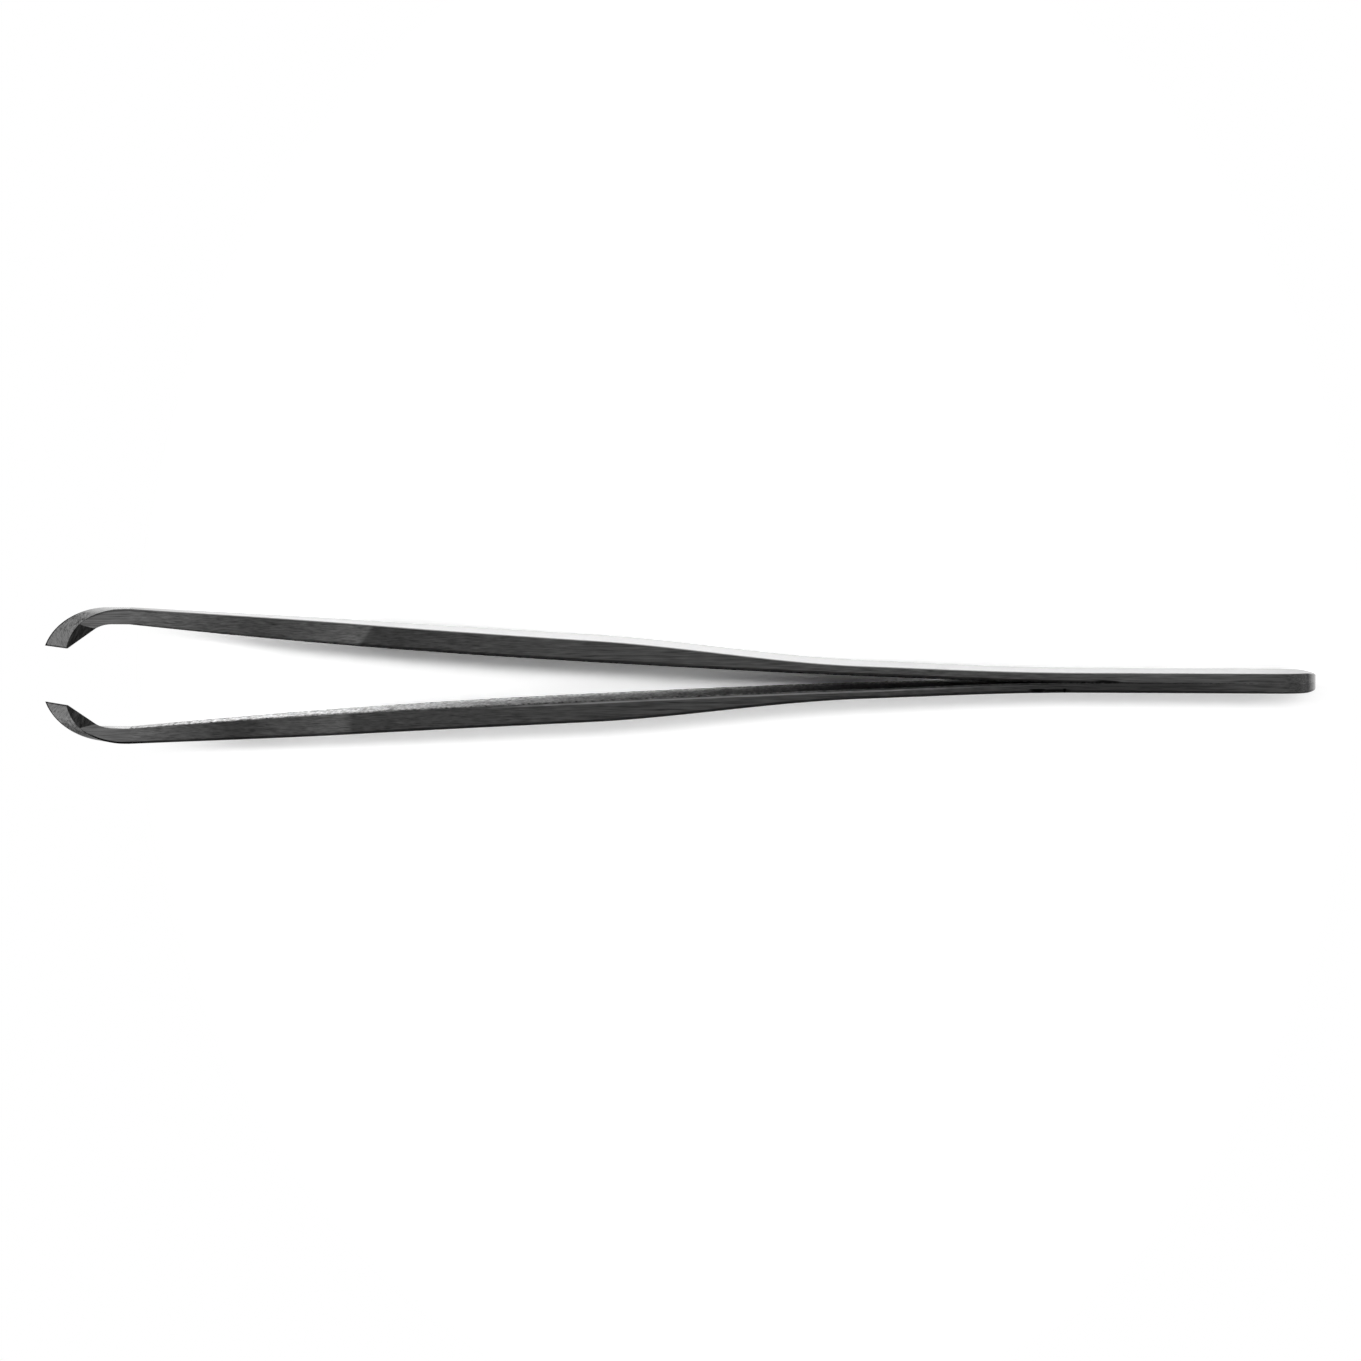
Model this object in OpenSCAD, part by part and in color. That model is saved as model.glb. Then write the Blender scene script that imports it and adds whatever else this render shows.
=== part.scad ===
// Cutting tweezers with oblique heads, lying on the lower side edges of their arms.
// X runs from the cutting tips (-X) to the welded rear end (+X), Y across the opening
// and Z through the width of the strips. The origin is on the surface that the part
// lies on, under the middle of its length. Distances along an arm are measured from
// the foremost corner of the cutting edges.

/* [Overall] */
// Length from the foremost cutting corner to the rear end
length = 115; // [108:1:125]
// Length over which the arms are welded face to face
weld_l = 21.5; // [18:0.5:26]

/* [Opening between the arms] */
// Clear distance between the two cutting edges
jaw_gap = 5.1; // [3:0.1:6.5]
// Clear distance between the arms at the necks, behind the heads
neck_gap = 9.4; // [8:0.1:11]
// Clear distance between the arms at the shoulders
shoulder_gap = 5.86; // [4.5:0.1:7]
// Clear distance between the arms at the rear end of the grips
grip_gap = 3.4; // [2.6:0.1:4.2]
// Clear distance between the arms where the springs are thinnest
spring_gap = 1.14; // [0.6:0.02:2]

/* [Thickness of an arm] */
// Thickness at the neck
neck_t = 1.4; // [0.9:0.05:1.6]
// Thickness at the shoulder, where the front taper has reached the full strip
shoulder_t = 2; // [1.7:0.02:2.5]
// Thickness at the rear end of the grip
grip_t = 1.94; // [1.7:0.02:2.5]
// Thickness of the spring that is ground hollow behind the grip
spring_t = 0.9; // [0.7:0.01:1.2]
// Thickness of one arm in the welded rear end
rear_t = 0.9; // [0.7:0.05:1.3]
// Length over which the outer face eases down towards the rear end
rear_ease_l = 1.6; // [0.8:0.1:3]
// Depth of that ease at the very end
rear_ease_t = 0.22; // [0.05:0.01:0.4]

/* [Places along an arm, from the tip] */
// Shoulder, where the front taper ends
shoulder_at = 29; // [24:0.5:36]
// Rear end of the grip
grip_end_at = 50; // [45:0.5:56]
// Thinnest place of the spring
spring_at = 74; // [68:0.5:80]
// Front end of the widest stretch, on which the part lies
belly_from = 52; // [46:0.5:53]
// Rear end of the widest stretch
belly_to = 67; // [62:0.5:74]

/* [Width of the strips] */
// Width of the neck
neck_w = 2.4; // [2:0.1:3]
// Width at the shoulder
shoulder_w = 6.4; // [5:0.1:7.5]
// Greatest width
belly_w = 9.2; // [8.2:0.1:11]
// Width of the rear end, which is a half circle
rear_w = 6.9; // [5.5:0.1:8]

/* [Cutting heads] */
// Width of the head from corner to corner of the cutting edge
head_w = 3.9; // [3.2:0.1:4.8]
// Distance by which one corner of the edge is set back behind the other
edge_set_back = 2.4; // [1:0.1:3]
// Radius of the ground outer face of the head
head_r = 5; // [4.2:0.1:6.5]
// Angle of the inner grind, square to the cutting edge
bevel_deg = 35.5; // [28:0.5:42]
// Width of the flat land along the cutting edge
edge_land = 0.12; // [0.05:0.01:0.3]
// Radius of the inner corner between the grind and the neck
notch_r = 2.2; // [0.5:0.1:2.5]
// Length of the flank facet that widens the neck to the trailing corner of the edge
flank_l = 2.35; // [1.6:0.05:2.8]
// Turn of the flank facet away from straight outwards, towards the rear
flank_turn = 14.5; // [0:0.5:30]
// Length of the plain neck between the head and the front taper
neck_l = 0.4; // [0.2:0.1:2]

/* [Hidden] */
steel = [0.27, 0.27, 0.27];

// Greatest spacing of the points along the curved outlines
outline_step = 2;
// Number of points on the ease of the rear end, and degrees between those of the inner corner
ease_points = 6;
arc_step = 6;
// Facets of a full circle, which is kept as a true arc
round_fn = 96;
// Overrun of cutting bodies past the faces that they cut
over = 1;
// Share of the plain neck before the strip starts, and again between the head's end and the taper
neck_share = 0.25;

weld_at = length - weld_l;
rear_r = rear_w / 2;

// Right-hand arm in its own frame: Z = 0 half way up the width, Y = 0 the seam.
edge_y = jaw_gap / 2;
neck_in = neck_gap / 2;
neck_out = neck_in + neck_t;

// The head is a bar whose section runs parallel to the slanting cutting edge.
edge_deg = atan(edge_set_back / head_w);
// Run of the section from the cutting edge to the crest of its outer face
crest_run = sqrt(pow(head_r, 2) - pow(edge_y - neck_out + head_r, 2));
// Distance of the cutting edge from the tip, at a height in the width
function edge_at(z) = edge_set_back * (0.5 + z / head_w);
// Place where the plain neck ends and the front taper starts
neck_at = edge_at(neck_w / 2) + crest_run / cos(edge_deg) + neck_l;
// The strip starts inside the head, and the head ends inside the strip, both in the plain neck
strip_from = neck_at - (1 - neck_share) * neck_l;
head_to = neck_at - neck_share * neck_l;

gaps = [
    [neck_at, neck_gap], [shoulder_at, shoulder_gap], [grip_end_at, grip_gap],
    [spring_at, spring_gap], [weld_at, 0], [length, 0]
];
thicknesses = [
    [neck_at, neck_t], [shoulder_at, shoulder_t], [grip_end_at, grip_t],
    [spring_at, spring_t], [weld_at, rear_t], [length, rear_t]
];
// The front taper is ground straight, so the width is smooth only behind the shoulder.
widths = [
    [shoulder_at, shoulder_w], [belly_from, belly_w], [belly_to, belly_w],
    [weld_at, rear_w], [length - rear_r, rear_w]
];

// Slope from station i of a curve to the next one
function chord(c, i) = (c[i + 1][1] - c[i][1]) / (c[i + 1][0] - c[i][0]);
// Slope of the smooth curve at its first station, from the first two chords
function start_slope(c) =
    let (a = c[1][0] - c[0][0], b = c[2][0] - c[1][0])
    ((2 * a + b) * chord(c, 0) - a * chord(c, 1)) / (a + b);
// Slope of the smooth curve at station i: none at a flat or a turning place
function slope(c, i) =
    i == 0 ? start_slope(c)
    : i == len(c) - 1 ? chord(c, i - 1)
    : let (a = chord(c, i - 1), b = chord(c, i))
      a * b <= 0 ? 0 : 2 * a * b / (a + b);
// Number of the stretch of the curve that holds x
function stretch(c, x, i = 0) = i >= len(c) - 2 || x < c[i + 1][0] ? i : stretch(c, x, i + 1);
// Smooth curve through the stations of c, which never overshoots them
function smooth(c, x) =
    let (
        i = stretch(c, x),
        h = c[i + 1][0] - c[i][0],
        u = (x - c[i][0]) / h
    )
    c[i][1] * (1 + 2 * u) * pow(1 - u, 2)
    + c[i + 1][1] * pow(u, 2) * (3 - 2 * u)
    + h * slope(c, i) * u * pow(1 - u, 2)
    - h * slope(c, i + 1) * pow(u, 2) * (1 - u);

// Depth by which the outer face has eased down near the rear end, along an arc
ease_r = (pow(rear_ease_l, 2) + pow(rear_ease_t, 2)) / (2 * rear_ease_t);
function ease(x) =
    let (d = x - (length - rear_ease_l))
    d <= 0 ? 0 : ease_r - sqrt(pow(ease_r, 2) - pow(d, 2));

function inner_y(x) = smooth(gaps, x) / 2;
function outer_y(x) = inner_y(x) + smooth(thicknesses, x) - ease(x);

// Evenly spread values between two ends, both included
function places(from, to, step) =
    let (n = ceil((to - from) / step))
    [for (i = [0 : n]) from + (to - from) * i / n];
// Places of the outline's points along a curve: a level stretch needs only its ends
function outline_places(c) = [
    for (i = [0 : len(c) - 2])
        let (level = c[i][1] == c[i + 1][1], a = c[i][0], b = c[i + 1][0])
        for (x = places(a, b, level ? b - a : outline_step))
            if (i == 0 || x > a) x
];

// Side profile of the arm behind the head, in X and Y
module side_profile() {
    rear_places = places(length - rear_ease_l, length, rear_ease_l / ease_points);
    inner_places = outline_places(gaps);
    outer_places = concat([for (x = inner_places) if (x < rear_places[0]) x], rear_places);
    polygon(concat(
        [[strip_from, neck_out]],
        [for (x = outer_places) [x, outer_y(x)]],
        [for (i = [len(inner_places) - 1 : -1 : 0]) [inner_places[i], inner_y(inner_places[i])]],
        [[strip_from, neck_in]]
    ));
}

// Outline of the strip behind the head, in X and Z
module plan_outline() {
    half = concat(
        [[strip_from, neck_w / 2], [neck_at, neck_w / 2]],
        [for (x = outline_places(widths)) [x, smooth(widths, x) / 2]]
    );
    polygon(concat(half, [for (i = [len(half) - 1 : -1 : 0]) [half[i][0], -half[i][1]]]));
    translate([length - rear_r, 0]) circle(r = rear_r, $fn = round_fn);
}

// Strip of spring steel from the neck to the rear end
module strip() {
    intersection() {
        translate([0, 0, -belly_w / 2 - over])
            linear_extrude(height = belly_w + 2 * over) side_profile();
        rotate([90, 0, 0]) translate([0, 0, -neck_out - over])
            linear_extrude(height = neck_out + 2 * over) plan_outline();
    }
}

// Section of the head, square to the cutting edge, which is at X = 0.
// It is the inner grind, the rounded inner corner and the neck below a ground arc.
module head_section() {
    grind_run = edge_land + (neck_in - edge_y) / tan(bevel_deg);
    corner_x = grind_run + notch_r * tan(bevel_deg / 2);
    intersection() {
        polygon(concat(
            [[0, edge_y], [edge_land, edge_y]],
            [for (a = places(bevel_deg, 0, -arc_step))
                [corner_x - notch_r * sin(a), neck_in - notch_r * (1 - cos(a))]],
            [[neck_at, neck_in], [neck_at, neck_out], [0, neck_out]]
        ));
        union() {
            translate([crest_run, neck_out - head_r]) circle(r = head_r, $fn = round_fn);
            translate([crest_run, edge_y]) square([neck_at, neck_out - edge_y]);
        }
    }
}

// Outline of the head in X and Z: straight from the leading corner to the neck
module head_outline() {
    taper = (head_w - neck_w) / 2 / head_to;
    polygon([
        [-over, -head_w / 2 - over * taper], [head_to, -neck_w / 2],
        [head_to, head_w], [-over, head_w]
    ]);
}

// Material beyond the flank facet, which runs from the neck out to the trailing corner
module flank_cut() {
    flare = (head_w - neck_w) / 2;
    size = 4 * head_w;
    intersection() {
        translate([-over, 0, neck_w / 2]) cube([neck_at + 2 * over, neck_out + over, head_w]);
        translate([edge_set_back, edge_y, head_w / 2])
            rotate([0, atan(flare / flank_l), 90 - flank_turn])
                translate([-size / 2, -size / 2, 0]) cube(size);
    }
}

// Bent-in head with its slanting cutting edge
module head() {
    bar_l = 4 * head_w;
    difference() {
        intersection() {
            translate([edge_at(0), 0, 0]) rotate([0, edge_deg, 0])
                translate([0, 0, -bar_l / 2]) linear_extrude(height = bar_l) head_section();
            rotate([90, 0, 0]) translate([0, 0, -neck_out - over])
                linear_extrude(height = neck_out + over) head_outline();
        }
        flank_cut();
    }
}

module arm() {
    translate([-length / 2, 0, belly_w / 2]) {
        strip();
        head();
    }
}

module right_arm() {
    color(steel) arm();
}

module left_arm() {
    color(steel) mirror([0, 1, 0]) arm();
}

right_arm();
left_arm();
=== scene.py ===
"""Finished look of the cutting tweezers: two ground and brushed steel arms, a stage and a camera.

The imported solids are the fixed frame. Each arm is made again here as one closed surface with
broken edges and ground faces, in the same place, and rides on the same body.
"""

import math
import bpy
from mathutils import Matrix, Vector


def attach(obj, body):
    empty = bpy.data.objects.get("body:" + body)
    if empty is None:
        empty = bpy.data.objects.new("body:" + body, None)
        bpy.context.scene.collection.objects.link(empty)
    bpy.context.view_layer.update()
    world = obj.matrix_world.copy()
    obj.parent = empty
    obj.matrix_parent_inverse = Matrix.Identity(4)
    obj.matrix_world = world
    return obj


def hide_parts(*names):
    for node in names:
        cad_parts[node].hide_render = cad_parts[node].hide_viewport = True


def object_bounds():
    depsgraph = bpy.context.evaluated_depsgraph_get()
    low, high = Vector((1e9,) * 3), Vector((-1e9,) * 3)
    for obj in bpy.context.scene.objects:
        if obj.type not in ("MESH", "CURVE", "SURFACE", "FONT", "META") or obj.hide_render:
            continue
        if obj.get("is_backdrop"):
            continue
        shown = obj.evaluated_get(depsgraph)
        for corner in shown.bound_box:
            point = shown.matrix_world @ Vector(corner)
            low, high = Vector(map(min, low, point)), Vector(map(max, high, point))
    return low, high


bl_info = {
    "name": "Cutting Tweezers",
    "version": (1, 0, 0),
    "blender": (4, 5, 0),
    "location": "3D View > Sidebar > Tweezers",
    "description": "Builds the steel arms, the stage and the camera of the cutting tweezers",
    "category": "Object",
}

from collections import namedtuple

import bmesh
import bpy
import numpy as np
from mathutils import Matrix, Vector

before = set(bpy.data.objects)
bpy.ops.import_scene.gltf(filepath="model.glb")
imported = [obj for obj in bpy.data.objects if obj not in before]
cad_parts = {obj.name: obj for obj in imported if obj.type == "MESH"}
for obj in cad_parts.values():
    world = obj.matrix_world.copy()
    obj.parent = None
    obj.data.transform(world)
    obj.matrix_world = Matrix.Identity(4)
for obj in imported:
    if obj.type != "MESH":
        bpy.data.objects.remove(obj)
CAD_BOX = tuple(tuple(corner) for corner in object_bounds())

MM = 0.001
ROOT = "root"


def number(name, description, value, **settings):
    """A number that a user may change."""
    return bpy.props.FloatProperty(
        name=name, description=description, default=value, **settings)


def length(name, description, millimetres):
    """A length, given in millimetres and kept in metres."""
    return number(name, description, millimetres * MM, min=0.0, precision=5,
                  subtype="DISTANCE", unit="LENGTH")


def angle(name, description, degrees):
    """An angle, given in degrees."""
    return number(name, description, math.radians(degrees), subtype="ANGLE", unit="ROTATION")


def power(name, description, watts):
    """The power of a lamp, in watts."""
    return number(name, description, watts, min=0.0, unit="POWER")


def share(name, description, value, top=1.0):
    """A share or another plain number from none to the top."""
    return number(name, description, value, min=0.0, max=top, subtype="FACTOR")


def grey(name, description, value):
    """A linear colour, given as the level of a grey."""
    return bpy.props.FloatVectorProperty(
        name=name, description=description, default=(value, value, value),
        min=0.0, max=1.0, size=3, subtype="COLOR",
    )


class ArmSizes(bpy.types.PropertyGroup):
    """Sizes of one arm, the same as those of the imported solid, and the breaks of its edges."""

    length: length("Length", "From the foremost cutting corner to the rear end", 115)
    weld_l: length("Weld length", "Length over which the arms lie face to face", 21.5)
    jaw_gap: length("Jaw gap", "Clear distance between the cutting edges", 5.1)
    neck_gap: length("Neck gap", "Clear distance between the arms at the necks", 9.4)
    shoulder_gap: length("Shoulder gap", "Clear distance at the shoulders", 5.86)
    grip_gap: length("Grip gap", "Clear distance at the rear end of the grips", 3.4)
    spring_gap: length("Spring gap", "Clear distance where the springs are thinnest", 1.14)
    neck_t: length("Neck thickness", "Thickness of an arm at the neck", 1.4)
    shoulder_t: length("Shoulder thickness", "Thickness of an arm at the shoulder", 2.0)
    grip_t: length("Grip thickness", "Thickness at the rear end of the grip", 1.94)
    spring_t: length("Spring thickness", "Thickness of the spring", 0.9)
    rear_t: length("Rear thickness", "Thickness of one arm in the weld", 0.9)
    rear_ease_l: length("Rear ease length", "Length of the ease at the rear end", 1.6)
    rear_ease_t: length("Rear ease depth", "Depth of the ease at the rear end", 0.22)
    shoulder_at: length("Shoulder", "Place where the front taper ends", 29)
    grip_end_at: length("Grip end", "Place of the rear end of the grip", 50)
    spring_at: length("Spring", "Place where the spring is thinnest", 74)
    belly_from: length("Belly from", "Front end of the widest stretch", 52)
    belly_to: length("Belly to", "Rear end of the widest stretch", 67)
    neck_w: length("Neck width", "Width of the neck", 2.4)
    shoulder_w: length("Shoulder width", "Width at the shoulder", 6.4)
    belly_w: length("Belly width", "Greatest width", 9.2)
    rear_w: length("Rear width", "Width of the rear end", 6.9)
    head_w: length("Head width", "From corner to corner of the cutting edge", 3.9)
    edge_set_back: length("Edge set-back", "Set-back of one corner of the edge", 2.4)
    head_r: length("Head radius", "Radius of the ground outer face", 5)
    bevel: angle("Inner grind", "Angle of the inner grind of the head", 35.5)
    edge_land: length("Edge land", "Width of the flat land along the edge", 0.12)
    notch_r: length("Inner corner", "Radius between the grind and the neck", 2.2)
    flank_l: length("Flank length", "Length of the flank facet", 2.35)
    flank_turn: angle("Flank turn", "Turn of the flank facet towards the rear", 14.5)
    neck_l: length("Neck length", "Length of the plain neck", 0.4)
    neck_share: share("Neck share", "Share of the neck behind the head's end", 0.25)
    head_break: length("Head break", "Rounding of the edges of the head", 0.05)
    outer_break: length("Outer break", "Rounding of the outer long edges", 0.24)
    inner_break: length("Inner break", "Rounding of the inner long edges", 0.28)
    seam_break: length("Seam break", "Rounding of the edges along the seam", 0.08)


class SteelLook(bpy.types.PropertyGroup):
    """Colours, roughnesses and grain of the ground steels."""

    edge_colour: grey("Edge faces", "Colour of the brushed edge faces", 0.27)
    broad_colour: grey("Broad faces", "Colour of the satin broad faces", 0.4)
    head_colour: grey("Heads", "Colour of the ground outer faces of the heads", 0.127)
    flank_colour: grey("Flanks", "Colour of the flank facets of the heads", 0.13)
    edge_rough: share("Edge roughness", "Roughness of the edge faces", 0.32)
    broad_rough: share("Broad roughness", "Roughness of the broad faces", 0.42)
    head_rough: share("Head roughness", "Roughness of the heads", 0.26)
    flank_rough: share("Flank roughness", "Roughness of the flank facets", 0.24)
    edge_streaks: share("Edge streaks", "Strength of the fine streaks on the edge faces", 0.9, 8.0)
    edge_hairs: share("Edge hairs", "Strength of their hair-fine streaks", 2.0, 8.0)
    edge_clouds: share("Edge clouds", "Strength of their slow change of tone", 0.2, 8.0)
    broad_streaks: share("Broad streaks", "Share of the grain that makes long streaks", 0.3, 8.0)
    head_streaks: share("Head streaks", "Strength of the grinding lines on the heads", 1.2, 8.0)
    flank_streaks: share("Flank streaks", "The same on the flank facets", 3.6, 8.0)
    inner_grain: share("Inner grain", "Strength of the ticks on the inner faces", 4.2, 8.0)
    outer_grain: share("Outer grain", "The same on the polished outer faces", 0.3, 8.0)


class StageLook(bpy.types.PropertyGroup):
    """Floor, lamps, surroundings and camera."""

    floor_plain: share("Floor", "How much light the floor gives back", 0.93)
    floor_seen: share("Floor seen", "The same as the camera sees it", 1.62, 4.0)
    # Painted shade: the camera sees the floor darker on the left arm's side
    floor_painted_shade_left: share("Floor seen left", "The same on the left arm's side", 1.2, 4.0)
    floor_mirrored: share("Floor mirrored", "The same as the steel mirrors it", 1.9, 4.0)
    fade_half: length("Fade half length", "Half length of the stretch whose shadow shows", 52)
    fade_from: share("Fade from", "Share of it where the shadow starts to fade", 0.85, 2.0)
    fade_to: share("Fade to", "Share of it where the floor is plain white", 1.08, 2.0)
    key_power: power("Key lamp", "Power of the small lamp over the right arm's side", 1.38)
    key_lean: angle("Key lean", "Its lean off the zenith", 11.5)
    key_width: length("Key width", "Its width across the part", 63)
    halo_power: power("Broad lamp", "Power of the broad lamp around the key lamp", 0.72)
    halo_lean: angle("Broad lean", "Its lean off the zenith", 14.5)
    halo_width: length("Broad width", "Its width across the part", 170)
    low_power: power("Small lamp", "Power of the small lamp over the left arm's side", 0.44)
    low_lean: angle("Small lean", "Its lean off the zenith", 4.6)
    low_width: length("Small width", "Its width across the part", 80)
    fill_power: power("Fill lamp", "Power of the slanting lamp on the left arm's side", 1.75)
    fill_lean: angle("Fill lean", "Its lean off the zenith", 45)
    fill_width: length("Fill width", "Its width across the part", 210)
    overhead: share("Overhead", "Brightness of the surroundings overhead", 0.2, 4.0)
    beside: share("Beside", "Brightness of the surroundings on both sides", 0.045, 4.0)
    horizon: share("Horizon", "Brightness of the surroundings at the horizon", 0.4, 4.0)
    window: share("Window", "Brightness of the window on the right arm's side", 0.7, 4.0)
    window_height: angle("Window height", "Height of its middle above the horizon", 28)
    front: share("Front window", "Brightness of the broad window beyond the heads", 1.0, 4.0)
    front_height: angle("Front window height", "Height of its middle above the horizon", 12)
    camera_distance: length("Camera distance", "From the camera to its target", 450)
    camera_tilt: angle("Camera tilt", "Lean of the view towards the right arm", 4.15)
    camera_roll: angle("Camera roll", "Turn of the picture", 0.277)
    picture_width: length("Picture width", "Width of the view at the target", 122.948)


def smooth_curve(stations, x):
    """Smooth curve through (place, value) stations that never overshoots them.

    It is the cubic through each pair of stations whose slope at a station is the harmonic
    mean of the slopes of the chords on both sides, and none where those differ in sign.
    """
    place, value = np.asarray(stations, float).T
    gap = np.diff(place)
    chord = np.diff(value) / gap
    slope = np.zeros(len(place))
    slope[0] = ((2 * gap[0] + gap[1]) * chord[0] - gap[0] * chord[1]) / (gap[0] + gap[1])
    slope[-1] = chord[-1]
    product = chord[:-1] * chord[1:]
    total = np.where(product > 0, chord[:-1] + chord[1:], 1.0)
    slope[1:-1] = np.where(product > 0, 2 * product / total, 0.0)
    i = np.clip(np.searchsorted(place, x, side="right") - 1, 0, len(gap) - 1)
    u = (x - place[i]) / gap[i]
    return (
        value[i] * (1 + 2 * u) * (1 - u) ** 2
        + value[i + 1] * u ** 2 * (3 - 2 * u)
        + gap[i] * slope[i] * u * (1 - u) ** 2
        - gap[i] * slope[i + 1] * u ** 2 * (1 - u)
    )


def bump(x, centre, half_width):
    """Flat-topped bump: e to the minus fourth power of the distance in half widths."""
    return np.exp(-(((x - centre) / half_width) ** 4))


# Wear at one corner of the sections, a dent of the given depth. The last number is how much darker
# the steel is painted there, as painted shade in the dent
Mark = namedtuple("Mark", "corner place half_width depth darkness")
# Painted light and shade along the arm: shares of the steel's colour, at places in millimetres,
# between two points of the sections
Line = namedtuple("Line", "first last shares")

# Sections of the head's outer arc, its inner corner and the turning neck, then of the strip and
# of each mark, and steps round the rear end
ARC_SECTIONS, CORNER_SECTIONS, NECK_SECTIONS = 34, 12, 5
STRIP_SECTIONS, MARK_SECTIONS, REAR_STEPS = 210, 19, 33
# Sections on the flat land of the cutting edge and just behind it, as shares of its width
LAND_PLACES = (0, 0.5, 0.94, 1.06, 1.3)
# Distance of the sections before and behind the end of the straight inner grind
CREASE = 0.02 * MM
# Half widths of a mark, on each side of its place, that get close sections
MARK_REACH = 1.8
# Decimals of a metre to which places are rounded, so that doubles drop out
HEAD_DECIMALS, STRIP_DECIMALS = 9, 8
# Points of a section from the middle of the inner face to that of the outer face
HALF = 21
# Points on the curve of a rounded corner, which has one more point close to each end
ROUND_POINTS = 6
# Number of the last point of a rounded corner and of its middle, counted from its first one
ROUND_LAST = ROUND_POINTS + 1
ROUND_MIDDLE = ROUND_LAST / 2
# Number of the first point at each corner of a section
FIRST_RING = (0, 1, 9, 12, 20, 21, 29, 32)
# Corners that are the middle of a face, flat corners and rounded ones
MIDDLES, FLATS, ROUNDED = (0, 4), (2, 6), (1, 3, 5, 7)
# Corners whose rounding starts on a broad face, and corners whose rounding ends on one
FROM_BROAD, TO_BROAD = (1, 5), (3, 7)
# Part of a rounding's size that is taken from the broad face
SIDE_SHARE = 0.4
# Pull of a curve towards its corner that makes it a quarter of a circle or an ellipse
ROUND_PULL = 0.5523
# Largest share of the room at a corner that its rounding takes
ROOM_SHARE = 0.8
# Distance of the points close to the ends of a rounding, and the largest share of the room
RIM, RIM_SHARE = 0.03 * MM, 0.12
# Added to lengths that divide, some of which are none
TINY = 1e-12
# Shares of the thickness between which the foot of the flank facet keeps
NEAR_SHARE, FAR_SHARE = 0.06, 0.94
# Length behind the neck over which the flat corners move to the middle of the edge faces
SPREAD_L = 2 * MM
# Places from the tip up to which the outer and the inner breaks of the head stay tight
OUTER_TIGHT_TO, INNER_TIGHT_TO = 2.5 * MM, 4 * MM
# Length over which the breaks narrow down to the tight ones along the seam
SEAM_RUN = 4 * MM
# Rise above the neck from which the head's upper side is the flank facet
FACET_RISE = 0.01 * MM
# Distance within which points coincide, and the angle from which an edge shows as sharp
MERGE = 2e-7
SHARP_DEG = 24
# Painted reflection of the floor on the edge faces round the rear end: share of their colour at
# degrees round it
REAR_PAINTED_REFLECTION = (
    (0, 34, 40, 45, 49, 54, 62, 74, 90),
    (1, 0.95, 0.5, 0.3, 0.42, 0.7, 1.0, 1.6, 1.8),
)
# Share of the broad faces' colour on the outer ones, which are polished further, at places in
# millimetres
OUTER_TONES = ((7.9, 11, 60, 76), (1.25, 1.5, 1.45, 1.35))


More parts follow.
